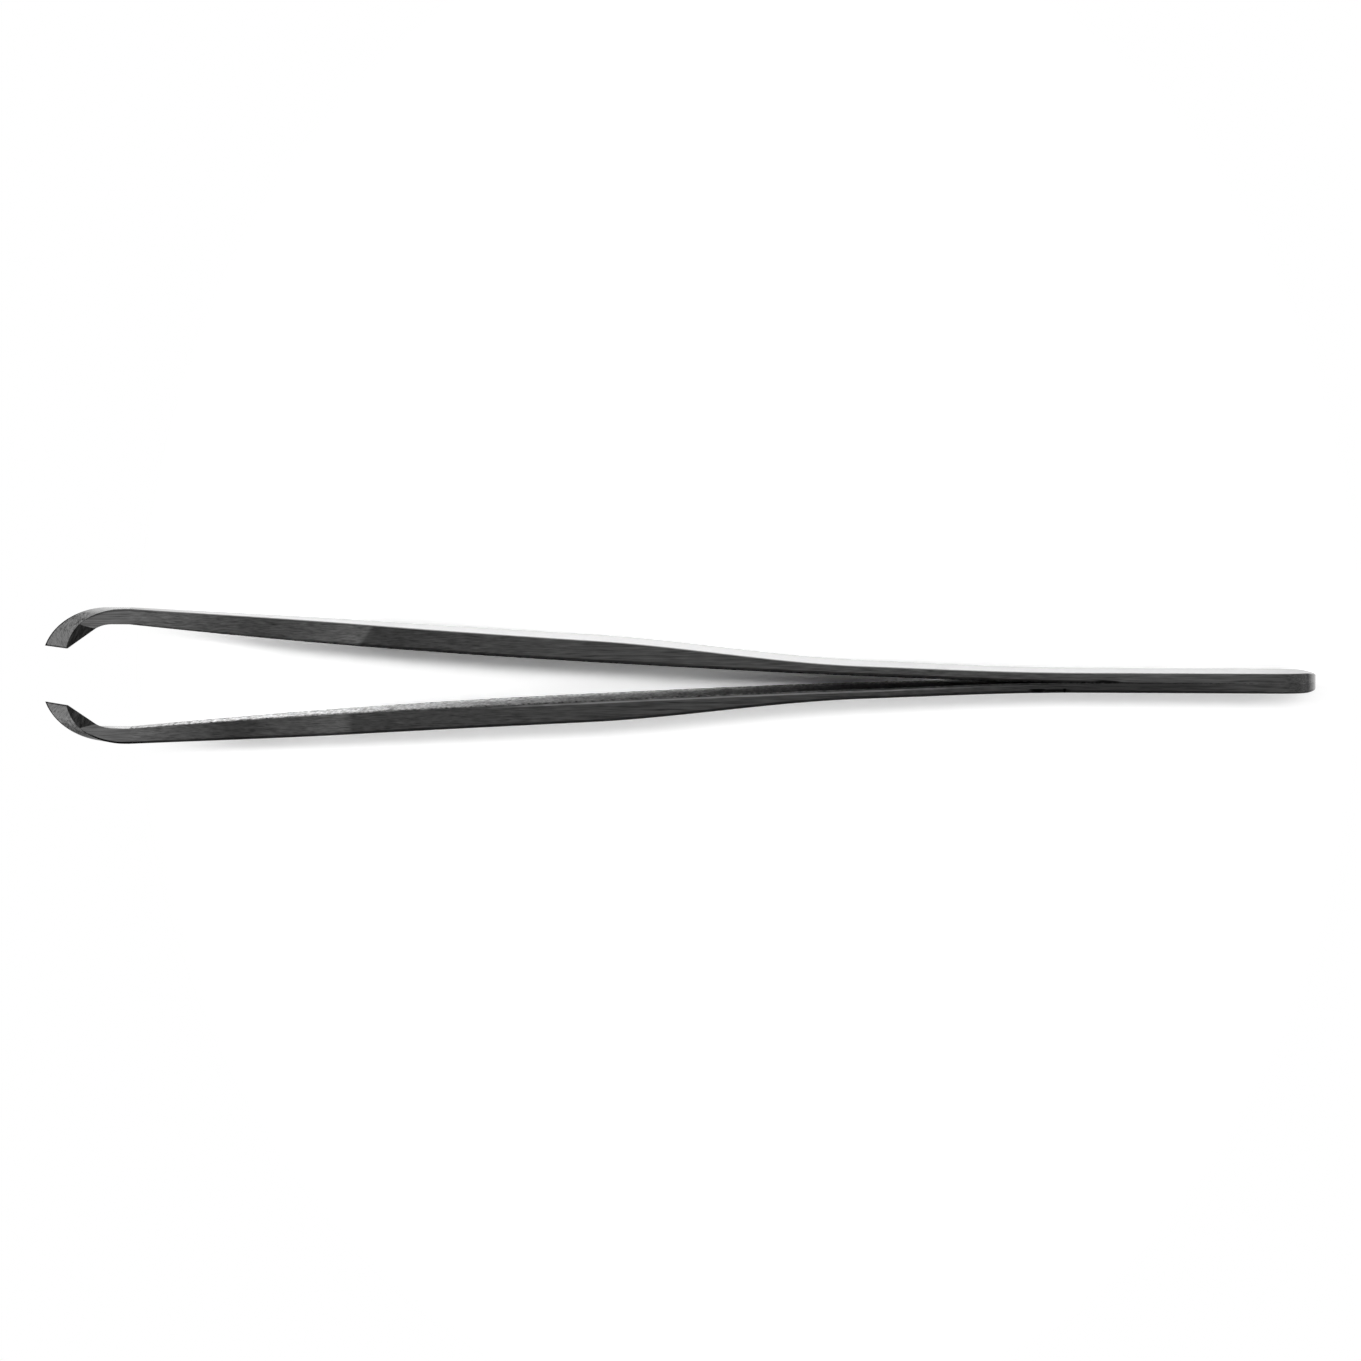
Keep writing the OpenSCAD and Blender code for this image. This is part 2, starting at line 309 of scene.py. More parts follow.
class Arm:
    """Sections of one arm from the cutting edge to the middle of the round rear end.

    A section is the set of points whose place along the arm is `at` plus `lean` times their
    height in the width. The head's sections lean as the cutting edge does, those of the
    strip don't, and the neck's sections turn from one to the other.
    """

    def __init__(self, size, marks, lines):
        self.size, self.marks, self.lines = size, marks, lines
        g = size
        edge_y, neck_in = g.jaw_gap / 2, g.neck_gap / 2
        neck_out = neck_in + g.neck_t
        lean = g.edge_set_back / g.head_w
        slant = math.cos(math.atan(lean))
        crest = math.sqrt(g.head_r ** 2 - (edge_y - neck_out + g.head_r) ** 2)
        grind_end = g.edge_land + (neck_in - edge_y) / math.tan(g.bevel)
        corner_x = grind_end + g.notch_r * math.tan(g.bevel / 2)
        arc_from = corner_x - g.notch_r * math.sin(g.bevel)
        edge_at = g.edge_set_back / 2
        self.neck_at = (
            g.edge_set_back * (0.5 + g.neck_w / 2 / g.head_w) + crest / slant + g.neck_l)
        self.weld_at = g.length - g.weld_l
        self.round_at = g.length - g.rear_w / 2

        # Reach is the distance from the cutting edge, square to it.
        turn = np.linspace(math.asin(crest / g.head_r), 0, ARC_SECTIONS)
        reach = np.unique(np.concatenate([
            crest - g.head_r * np.sin(turn),
            g.edge_land * np.array(LAND_PLACES),
            arc_from + CREASE * np.array([-1, 1]),
            corner_x - g.notch_r * np.sin(np.linspace(g.bevel, 0, CORNER_SECTIONS)),
        ]).round(HEAD_DECIMALS))
        reach = reach[(reach >= 0) & (reach <= crest)]
        turning = np.linspace(0, 1, NECK_SECTIONS + 2)[1:-1]
        strip = self.strip_places()
        self.count = len(reach) + len(turning)
        self.at = np.concatenate([
            edge_at + reach / slant,
            (1 - turning) * (edge_at + crest / slant) + turning * self.neck_at,
            strip,
        ])
        self.lean = np.concatenate([
            np.full(len(reach), lean), (1 - turning) * lean, np.zeros(len(strip)),
        ])
        reach = np.concatenate([reach, np.full(len(turning), crest)])

        # Inner face: flat land, straight grind, rounded inner corner, neck, strip.
        run = corner_x - np.minimum(reach, corner_x)
        arc = neck_in - g.notch_r + np.sqrt(np.maximum(g.notch_r ** 2 - run ** 2, 0))
        grind = edge_y + (reach - g.edge_land) * math.tan(g.bevel)
        head_in = np.where(reach < g.edge_land, edge_y, np.where(reach < arc_from, grind, arc))
        head_out = neck_out - g.head_r + np.sqrt(g.head_r ** 2 - (crest - reach) ** 2)
        gaps = [
            (self.neck_at, g.neck_gap), (g.shoulder_at, g.shoulder_gap),
            (g.grip_end_at, g.grip_gap), (g.spring_at, g.spring_gap),
            (self.weld_at, 0), (g.length, 0)]
        thicknesses = [
            (self.neck_at, g.neck_t), (g.shoulder_at, g.shoulder_t), (g.grip_end_at, g.grip_t),
            (g.spring_at, g.spring_t), (self.weld_at, g.rear_t), (g.length, g.rear_t)]
        strip_in = smooth_curve(gaps, strip) / 2
        strip_out = strip_in + smooth_curve(thicknesses, strip) - self.ease(strip)
        self.inner = np.concatenate([head_in, strip_in])
        self.outer = np.concatenate([head_out, strip_out])

        # Heights of the lower and the upper edge face.
        head_to = self.neck_at - g.neck_share * g.neck_l
        taper = (g.head_w - g.neck_w) / 2 / head_to
        at, tilt = self.at[:self.count], self.lean[:self.count]
        low = np.minimum((taper * at - g.head_w / 2) / (1 - taper * tilt), -g.neck_w / 2)
        half = self.half_width(strip)
        self.lower = np.concatenate([low, -half])
        self.upper = np.concatenate([np.full(self.count, g.neck_w / 2), half])

        # Rise of the flank facet, and its share along and across the arm.
        self.flare = (g.head_w - g.neck_w) / 2 / g.flank_l
        self.along, self.across = math.sin(g.flank_turn), math.cos(g.flank_turn)

    def strip_places(self):
        """Even steps along the strip, and close ones around each mark on the edges."""
        even = np.linspace(self.neck_at, self.round_at, STRIP_SECTIONS)
        steps = np.linspace(-MARK_REACH, MARK_REACH, MARK_SECTIONS)
        close = [mark.place + mark.half_width * steps for mark in self.marks]
        place = np.unique(np.concatenate([even, *close]).round(STRIP_DECIMALS))
        return place[place >= self.neck_at - 10.0 ** -STRIP_DECIMALS]

    def half_width(self, s):
        """Straight front taper from the neck to the shoulder, then the smooth curve."""
        g = self.size
        widths = [
            (g.shoulder_at, g.shoulder_w), (g.belly_from, g.belly_w),
            (g.belly_to, g.belly_w), (self.weld_at, g.rear_w), (self.round_at, g.rear_w)]
        way = (s - self.neck_at) / (g.shoulder_at - self.neck_at)
        front = g.neck_w + (g.shoulder_w - g.neck_w) * way
        return np.where(s < g.shoulder_at, front, smooth_curve(widths, s)) / 2

    def ease(self, s):
        """Drop of the outer face on an arc of a circle near the rear end."""
        g = self.size
        radius = (g.rear_ease_l ** 2 + g.rear_ease_t ** 2) / (2 * g.rear_ease_t)
        run = np.clip(s - (g.length - g.rear_ease_l), 0, None)
        return radius - np.sqrt(radius ** 2 - run ** 2)

    def facet_height(self, y):
        """Height of the flank facet's plane at distance y from the seam, on every section."""
        g = self.size
        fall = self.along * (self.at - g.edge_set_back) + self.across * (y - g.jaw_gap / 2)
        return (g.head_w / 2 - self.flare * fall) / (1 + self.flare * self.along * self.lean)

    def corners(self):
        """The eight corners of every section, in order round it, as an array of y and z.

        Middle of the inner face, inner upper corner, foot of the flank facet, outer upper
        corner, middle of the outer face, outer lower corner, the plain counterpart of the
        facet's foot, and inner lower corner. The foot is where the facet's plane comes down
        to the upper edge face, kept between two shares of the thickness.
        """
        thick = self.outer - self.inner
        in_head = np.arange(len(self.at)) < self.count
        behind = np.clip((self.at - self.neck_at) / SPREAD_L, 0, 1)
        near = self.inner + (NEAR_SHARE + (0.5 - NEAR_SHARE) * behind) * thick
        far = self.inner + FAR_SHARE * thick
        rise = (self.facet_height(0) - self.upper) * (1 + self.flare * self.along * self.lean)
        foot = np.clip(rise / (self.flare * self.across), near, far)
        foot = np.where(in_head, foot, near)

        def top(y):
            return np.where(in_head, np.maximum(self.facet_height(y), self.upper), self.upper)

        zero = np.zeros_like(thick)
        return np.stack([np.stack(corner, 1) for corner in (
            (self.inner, zero), (self.inner, top(self.inner)), (foot, top(foot)),
            (self.outer, top(self.outer)), (self.outer, zero), (self.outer, self.lower),
            (near, self.lower), (self.inner, self.lower),
        )], axis=1)

    def breaks(self):
        """Size of the rounding at each corner of every section; none at the flat corners."""
        g = self.size
        outer = smooth_curve([
            (0, g.head_break), (OUTER_TIGHT_TO, g.head_break),
            (INNER_TIGHT_TO, 0.5 * g.outer_break), (self.neck_at, 0.8 * g.outer_break),
            (g.shoulder_at, g.outer_break), (self.weld_at, g.outer_break),
            (g.length, 0.5 * g.outer_break)], self.at)
        inner = smooth_curve([
            (0, g.head_break), (INNER_TIGHT_TO, g.head_break),
            (self.neck_at, 0.5 * g.inner_break), (g.shoulder_at, g.inner_break),
            (g.spring_at, g.inner_break), (self.weld_at, 0.8 * g.inner_break),
            (self.weld_at + SEAM_RUN, g.seam_break), (g.length, 0.4 * g.seam_break)], self.at)
        none = np.zeros_like(self.at)
        result = np.stack([none, inner, none, outer, none, outer, none, inner], axis=1)
        for mark in self.marks:
            result[:, mark.corner] += mark.depth * bump(self.at, mark.place, mark.half_width)
        return result

    def tones(self):
        """Share of the steel's colour at every point: painted light and shade along the edges and
        the inner face, the outer faces' share, and painted shade in the marks.
        """
        result = np.ones((len(self.at), 2 * HALF - 2))
        # Painted highlights and painted shade along the edges and the inner face
        for first, last, shares in self.lines:
            place, value = np.array(shares).T
            result[:, first:last + 1] *= np.interp(self.at, place * MM, value)[:, None]
        outer = slice(FIRST_RING[3] + ROUND_LAST, FIRST_RING[5] + 1)
        behind = self.at > self.neck_at
        result[behind, outer] = np.interp(self.at[behind] / MM, *OUTER_TONES)[:, None]
        # Painted shade in the dents
        for mark in self.marks:
            first = FIRST_RING[mark.corner]
            shade = 1 - mark.darkness * bump(self.at, mark.place, mark.half_width)
            result[:, first + 1:first + ROUND_LAST] *= shade[:, None]
        return result

    def loops(self):
        """Points round every section, with rounded corners, as an array of y and z.

        A corner is rounded by a quarter of an ellipse, which takes much from the edge face
        and little from the broad face: a cubic curve from the first point to the last one,
        pulled towards the corner. A point close to each end of it keeps the faces flat.
        """
        corner, size = self.corners(), self.breaks()
        back, ahead = np.roll(corner, 1, axis=1) - corner, np.roll(corner, -1, axis=1) - corner
        back_l = np.linalg.norm(back, axis=2) + TINY
        ahead_l = np.linalg.norm(ahead, axis=2) + TINY
        back, ahead = back / back_l[..., None], ahead / ahead_l[..., None]
        room = np.minimum(back_l, ahead_l)
        half_thick = 0.5 * (self.outer - self.inner)[:, None]
        size = np.minimum(size, ROOM_SHARE * np.minimum(room, half_thick))
        rows = []
        for k in range(len(FIRST_RING)):
            c, b = corner[:, k], size[:, k, None]
            rim = np.minimum(RIM, RIM_SHARE * room[:, k])[:, None]
            if k in MIDDLES:
                rows.append(c)
            elif k in FLATS:
                rows += [c + rim * back[:, k], c, c + rim * ahead[:, k]]
            else:
                first = c + b * (SIDE_SHARE if k in FROM_BROAD else 1.0) * back[:, k]
                last = c + b * (SIDE_SHARE if k in TO_BROAD else 1.0) * ahead[:, k]
                pulled = first + ROUND_PULL * (c - first), last + ROUND_PULL * (c - last)
                rows.append(first + rim * back[:, k])
                rows += [
                    (1 - t) ** 3 * first + 3 * (1 - t) ** 2 * t * pulled[0]
                    + 3 * (1 - t) * t ** 2 * pulled[1] + t ** 3 * last
                    for t in np.linspace(0, 1, ROUND_POINTS)]
                rows.append(last + rim * ahead[:, k])
        return np.stack(rows, axis=1)


def put_in_scene(name, data):
    """A new object at the origin of the scene, with the given mesh, lamp or lens."""
    item = bpy.data.objects.new(name, data)
    bpy.context.scene.collection.objects.link(item)
    return item


def grid_faces(rows, columns, offset, closed):
    """Quads of a grid of points, whose columns join up again where closed says so."""
    i = np.arange(rows - 1)[:, None]
    j = np.arange(columns if closed else columns - 1)[None, :]
    after = (j + 1) % columns
    quads = np.stack([
        i * columns + j, i * columns + after,
        (i + 1) * columns + after, (i + 1) * columns + j], axis=-1)
    return quads.reshape(-1, 4) + offset


def arm_grids(arm):
    """Quads of one arm, and for every point x, y, z, place, number in its section and tone.

    The sections give a grid over the head and the strip. The round rear end is two more
    grids, which turn the last section's upper and lower half about the middle of the round
    end until both point to the rear. The last array is the height above the lower edge face.
    """
    loop, tones = arm.loops(), arm.tones()
    y, z = loop[..., 0], loop[..., 1]
    x = arm.at[:, None] + arm.lean[:, None] * z
    ring = np.arange(loop.shape[1])
    grids = [(x, y, z, arm.at[:, None], ring, tones, z - arm.lower[:, None])]

    depth = (y[-1] - arm.inner[-1]) / (arm.outer[-1] - arm.inner[-1])
    turn = np.linspace(0, math.pi / 2, REAR_STEPS)[:, None]
    # Painted reflection of the floor on the edge faces as they turn round the rear end
    level = np.interp(np.degrees(turn), *REAR_PAINTED_REFLECTION)
    for part, sign in ((ring[:HALF], 1.0), (np.r_[ring[HALF - 1:], 0], -1.0)):
        radius = np.abs(z[-1, part])[None, :]
        fan_x = arm.round_at + radius * np.sin(turn)
        fan_z = sign * radius * np.cos(turn)
        fan_y = y[-1, part] - (arm.ease(fan_x) - arm.ease(arm.round_at)) * depth[part]
        edge = ((part > FIRST_RING[1]) & (part < FIRST_RING[3] + ROUND_LAST)
                | (part > FIRST_RING[5]) & (part < FIRST_RING[7] + ROUND_LAST))
        tone = tones[-1, part] * np.where(edge, level, 1.0)
        grids.append((fan_x, fan_y, fan_z, fan_x, part, tone, fan_z - arm.lower[-1]))

    faces, offset = [], 0
    for grid in grids:
        rows, columns = grid[0].shape
        faces.append(grid_faces(rows, columns, offset, closed=offset == 0))
        offset += rows * columns
    values = [
        np.concatenate([np.broadcast_to(grid[k], grid[0].shape).ravel() for grid in grids])
        for k in range(len(grids[0]))]
    return np.concatenate(faces), values


# Material slots of an arm
EDGE, INNER, HEAD, FLANK, OUTER = range(5)


def face_slots(arm, faces, station, ring, height):
    """Material slot of every quad. The faces meet halfway round the rounded corners."""
    inner_up, outer_up, outer_low, inner_low = (FIRST_RING[k] + ROUND_MIDDLE for k in ROUNDED)
    centre = ring[faces].mean(axis=1)
    open_quad = np.ptp(ring[faces], axis=1) < HALF
    in_head = station[faces].mean(axis=1) < arm.neck_at
    raised = height[faces].mean(axis=1) > arm.size.neck_w / 2 + FACET_RISE
    upper = (centre > inner_up) & (centre < outer_up) & open_quad
    lower = (centre > outer_low) & (centre < inner_low) & open_quad
    outside = (centre >= outer_up) & (centre <= outer_low) & open_quad
    return np.select([in_head & upper & raised, upper | lower, in_head, outside],
                     [FLANK, EDGE, HEAD, OUTER], INNER)


def arm_piece(name, size, side, marks, lines):
    """One arm as a closed surface. side is 1 for the right arm and -1 for the left one.

    Points of its grids that coincide are merged. The values that the steels read lie on
    the points under the names station, tone and margin.
    """
    arm = Arm(size, marks, lines)
    faces, (x, y, z, station, ring, tone, margin) = arm_grids(arm)
    slots = face_slots(arm, faces, station, ring, z)
    points = np.stack([x - size.length / 2, side * y, z + size.belly_w / 2], axis=-1)
    points = np.clip(points, *np.array(CAD_BOX))
    if side > 0:
        faces = faces[:, ::-1]

    mesh = bpy.data.meshes.new(name)
    mesh.from_pydata(points.tolist(), [], faces.tolist())
    for label, values in (("station", station), ("tone", tone), ("margin", margin)):
        attribute = mesh.attributes.new(label, "FLOAT", "POINT")
        attribute.data.foreach_set("value", values.astype(np.float32))
    mesh.polygons.foreach_set("material_index", slots.astype(np.int32))

    form = bmesh.new()
    form.from_mesh(mesh)
    bmesh.ops.remove_doubles(form, verts=form.verts, dist=MERGE)
    bmesh.ops.dissolve_degenerate(form, edges=form.edges, dist=MERGE)
    form.to_mesh(mesh)
    form.free()
    mesh.polygons.foreach_set("use_smooth", np.ones(len(mesh.polygons), bool))
    mesh.set_sharp_from_angle(angle=math.radians(SHARP_DEG))
    mesh.update()
    return put_in_scene(name, mesh)


# Grains of the noise to the millimetre along its own X, Y and Z axes
FINE_STREAKS, HAIR_STREAKS, CLOUDS = (0.14, 6.0, 6.0), (0.45, 12.0, 12.0), (0.245, 1.05, 1.05)
LONG_STREAKS, CROSS_TICKS = (0.3, 4.0, 2.0), (3.0, 6.0, 0.8)
MOTTLES, GRINDING, FLANK_LINES = (2.6, 2.6, 2.6), (1.2, 9.0, 1.2), (5.0, 1.0, 1.0)
# Turn of the grinding lines about Z on the heads and on their flank facets, in degrees
GRINDING_TURN, FLANK_LINES_TURN = 45, 20
# Distance from the seam at which the slanting tones of an edge face are in place
TONE_AXIS = 3.93 * MM
# Darkest share of a steel's colour, and the darkest one on the heads
DARKEST, HEAD_DARKEST = 0.1, 0.3
# Length of the stretch from the cutting edge that a head's painted light and shade covers
HEAD_L = 5.5 * MM
# From where to where, along the head, the mottle grows, and its strength before and behind
MOTTLE_GROWS = (0.5 * MM, 1.2 * MM, 0.3, 1.7)
# Painted shade along the cutting edge and along the lower side of the head: where its dark lines
# start and stop to fade, and their shares of the colour
EDGE_PAINTED_SHADE = (0.03 * MM, 0.06 * MM, 0.45, 1.0)
LOW_SIDE_PAINTED_SHADE = (0.18 * MM, 0.3 * MM, 0.35, 1.0)


class Nodes:
    """A short way to add and join the nodes of one material or world."""

    def __init__(self, owner):
        owner.use_nodes = True
        self.tree = owner.node_tree
        self.tree.nodes.clear()

    def add(self, kind, inputs=None, **settings):
        """A node with its settings, whose inputs are given as values or as sockets."""
        new = self.tree.nodes.new(kind)
        for key, value in settings.items():
            setattr(new, key, value)
        for key, value in (inputs or {}).items():
            if isinstance(value, bpy.types.NodeSocket):
                self.tree.links.new(value, new.inputs[key])
            else:
                new.inputs[key].default_value = value
        return new

    def here(self):
        """Place on the piece, in its own metres."""
        return self.add("ShaderNodeTexCoord").outputs["Object"]

    def axes(self, vector):
        """The sockets X, Y and Z of a vector."""
        return self.add("ShaderNodeSeparateXYZ", {0: vector}).outputs

    def own(self, label):
        """Value that the points of the piece carry under this name."""
        return self.add("ShaderNodeAttribute", attribute_name=label).outputs["Fac"]

    def math(self, operation, a, b=0.0, c=0.0):
        """The result of one sum on two or three values or sockets."""
        return self.add("ShaderNodeMath", {0: a, 1: b, 2: c}, operation=operation).outputs[0]

    def times(self, value, *factors):
        """The product of values or sockets."""
        for factor in factors:
            value = self.math("MULTIPLY", value, factor)
        return value

    def around(self, noise, middle, amount):
        """The noise, which is 0.5 on average, spread by the amount round a middle value."""
        start = -amount / 2
        if isinstance(middle, bpy.types.NodeSocket):
            start = self.math("ADD", middle, start)
        else:
            start += middle
        return self.math("MULTIPLY_ADD", noise, amount, start)

    def ramp(self, fac, stops):
        """Grey value that runs through the given (place, value) stops."""
        new = self.add("ShaderNodeValToRGB", {"Fac": fac})
        elements = new.color_ramp.elements
        while len(elements) < len(stops):
            elements.new(0.5)
        for element, (place, value) in zip(elements, sorted(stops)):
            element.position = place
            element.color = (value, value, value, 1)
        return new.outputs["Color"]

    def between(self, value, low, high, to_low=0.0, to_high=1.0, how="SMOOTHSTEP"):
        """The value carried from one range to another and held at its ends."""
        return self.add("ShaderNodeMapRange", {
            "Value": value, "From Min": low, "From Max": high,
            "To Min": to_low, "To Max": to_high}, interpolation_type=how).outputs["Result"]

    def noise(self, vector, grains, detail=2.0, rough=0.6, turn=0.0):
        """Noise between 0 and 1 with so many grains to the millimetre along X, Y and Z."""
        turned = self.add("ShaderNodeVectorRotate", {
            "Vector": vector, "Angle": math.radians(turn)},
            rotation_type="Z_AXIS").outputs["Vector"]
        mapped = self.add("ShaderNodeMapping", {
            "Vector": turned, "Scale": tuple(k / MM for k in grains)})
        return self.add("ShaderNodeTexNoise", {
            "Vector": mapped.outputs["Vector"], "Scale": 1.0, "Detail": detail,
            "Roughness": rough}).outputs["Fac"]

    def steel(self, colour, tone, rough, relief, strength, depth):
        """Bare steel of the colour times the tone, with fine relief, as the finished surface.

        A tone below 1 also darkens what the steel mirrors at a glancing angle.
        """
        base = self.add("ShaderNodeVectorMath", {
            0: tuple(colour), "Scale": tone}, operation="SCALE")
        lift = self.add("ShaderNodeBump", {
            "Height": relief, "Strength": strength, "Distance": depth})
        shader = self.add("ShaderNodeBsdfPrincipled", {
            "Base Color": base.outputs[0], "Metallic": 1.0, "Roughness": rough,
            "Specular Tint": self.math("MINIMUM", tone, 1.0),
            "Normal": lift.outputs["Normal"]})
        self.add("ShaderNodeOutputMaterial", {"Surface": shader.outputs[0]})


def new_material(name):
    """A material, a short way to add its nodes, and the place on the piece."""
    material = bpy.data.materials.new(name)
    n = Nodes(material)
    return material, n, n.here()


def edge_steel(name, look, side, tones, slant):
    """Edge faces: ground lengthwise, with fine streaks and a slow change of tone.

    The tones are read along the arm, at places that slant by the given share of the
    distance from the seam.
    """
    material, n, here = new_material(name)
    xyz = n.axes(here)
    aside = n.math("SUBTRACT", xyz["Y"], side * TONE_AXIS)
    along = n.math("MULTIPLY_ADD", aside, slant, xyz["X"])
    place = n.between(along, CAD_BOX[0][0], CAD_BOX[1][0], how="LINEAR")
    fine = n.noise(here, FINE_STREAKS)
    hair = n.noise(here, HAIR_STREAKS)
    cloud = n.noise(here, CLOUDS, rough=0.5)
    value = n.around(hair, n.around(fine, 1.0, look.edge_streaks), look.edge_hairs)
    clouds = n.around(cloud, 1.0, look.edge_clouds)
    value = n.times(value, clouds, n.ramp(place, tones), n.own("tone"))
    rough = n.around(fine, look.edge_rough, 0.16)
    n.steel(look.edge_colour, value, rough, fine, strength=0.25, depth=0.004 * MM)
    return material


def broad_steel(name, look, grain):
    """Broad faces: satin, with ticks across the arm that are as strong as the grain says."""
    material, n, here = new_material(name)
    streak = n.noise(here, LONG_STREAKS, detail=4.0)
    speckle = n.noise(here, CROSS_TICKS, detail=3.0)
    value = n.around(speckle, n.around(streak, 1.0, look.broad_streaks * grain), grain)
    value = n.times(n.math("MAXIMUM", value, DARKEST), n.own("tone"))
    rough = n.around(speckle, look.broad_rough, 0.1)
    n.steel(look.broad_colour, value, rough, streak, strength=0.2, depth=0.003 * MM)
    return material


def head_steel(name, size, look, side, head_painted_light):
    """Heads: finely ground near the cutting edge, mottled behind it, with dark edge lines.

    The dark edge lines are painted shade. The last argument gives painted light and shade:
    tones at shares of the stretch from the cutting edge to the neck, darker in the middle and
    lightest at the neck.
    """
    material, n, here = new_material(name)
    reach = n.math("SUBTRACT", n.own("station"), size.edge_set_back / 2)
    mottle = n.noise(here, MOTTLES, detail=3.0, rough=0.65)
    ground = n.noise(here, GRINDING, turn=side * GRINDING_TURN)
    value = n.math(
        "MULTIPLY_ADD", n.math("SUBTRACT", mottle, 0.5), n.between(reach, *MOTTLE_GROWS),
        n.around(ground, 1.0, look.head_streaks))
    value = n.math("MAXIMUM", value, HEAD_DARKEST)
    level = n.ramp(n.between(reach, 0.0, HEAD_L, how="LINEAR"), head_painted_light)
    value = n.times(value, level, n.between(reach, *EDGE_PAINTED_SHADE),
                    n.between(n.own("margin"), *LOW_SIDE_PAINTED_SHADE), n.own("tone"))
    rough = n.around(mottle, look.head_rough, 0.1)
    n.steel(look.head_colour, value, rough, mottle, strength=0.3, depth=0.01 * MM)
    return material


def flank_steel(name, look, level):
    """Flank facets of the heads, with a few grinding lines. Their level is painted light and
    shade: darker on the right arm, lighter on the left one.
    """
    material, n, here = new_material(name)
    ground = n.noise(here, FLANK_LINES, turn=FLANK_LINES_TURN)
    value = n.times(n.around(ground, 1.0, look.flank_streaks), level)
    value = n.math("MAXIMUM", value, DARKEST)
    rough = n.around(ground, look.flank_rough, 0.1)
    n.steel(look.flank_colour, value, rough, ground, strength=0.2, depth=0.004 * MM)
    return material


def finish_arm(context, name, node, side, marks, lines, tones, slant, head_painted_light,
               flank_painted_light):
    """Build one arm, give it its steels and put it in its node's place.

    Tones and the head's stops are stops of a place and a share of the colour; the head's stops
    are painted light and shade. The last argument is that share on the flank facet, also painted
    light and shade.
    """
    size, look = context.scene.tweezer_arm, context.scene.tweezer_steel
    piece = arm_piece(name, size, side, marks, lines)
    for material in (
        edge_steel(name + "_edge_steel", look, side, tones, slant),
        broad_steel(name + "_inner_steel", look, look.inner_grain),
        head_steel(name + "_head_steel", size, look, side, head_painted_light),
        flank_steel(name + "_flank_steel", look, flank_painted_light),
        broad_steel(name + "_outer_steel", look, look.outer_grain),
    ):
        piece.data.materials.append(material)
    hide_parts(node)
    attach(piece, ROOT)


class TWEEZERS_OT_right_arm(bpy.types.Operator):
    """Build the right arm with its cutting head"""

    bl_idname = "tweezers.right_arm"
    bl_label = "Right arm"

    def execute(self, context):
        # A dent in the inner upper edge near the seam, painted darker as shade in it
        marks = [Mark(1, 96.0 * MM, 1.1 * MM, 0.1 * MM, 0.7)]
        # Painted shade along the inner upper rounding; along the head's outer upper rounding a
        # painted highlight near the tip, then painted shade
        lines = [
            Line(2, 7, [(20, 1.0), (30, 0.6), (60, 0.5), (90, 0.3), (103, 0.6), (109, 1.0)]),
            Line(13, 18, [(2, 1.5), (3.5, 1.0), (4, 0.6), (8, 0.6), (12, 1.0)])]
        # shares of the colour at shares of the length; then, as painted light and shade, at shares
        # of the head's stretch
        tones = [(0.06, 2.2), (0.13, 1.35), (0.175, 0.98), (0.254, 1.9), (0.258, 0.74),
                 (0.4, 1.1), (0.8, 1.2), (0.95, 1.4), (1.0, 1.1)]
        head_painted_light = [(0, 1.0), (0.16, 0.92), (0.39, 0.74), (0.56, 0.85), (0.75, 2.4), (1.0, 4.2)]
        # Painted shade on the flank facet of this arm
        finish_arm(context, "right_arm_ground", "right_arm", side=1,
                   marks=marks, lines=lines, tones=tones, slant=-0.7, head_painted_light=head_painted_light,
                   flank_painted_light=0.6)
        return {"FINISHED"}


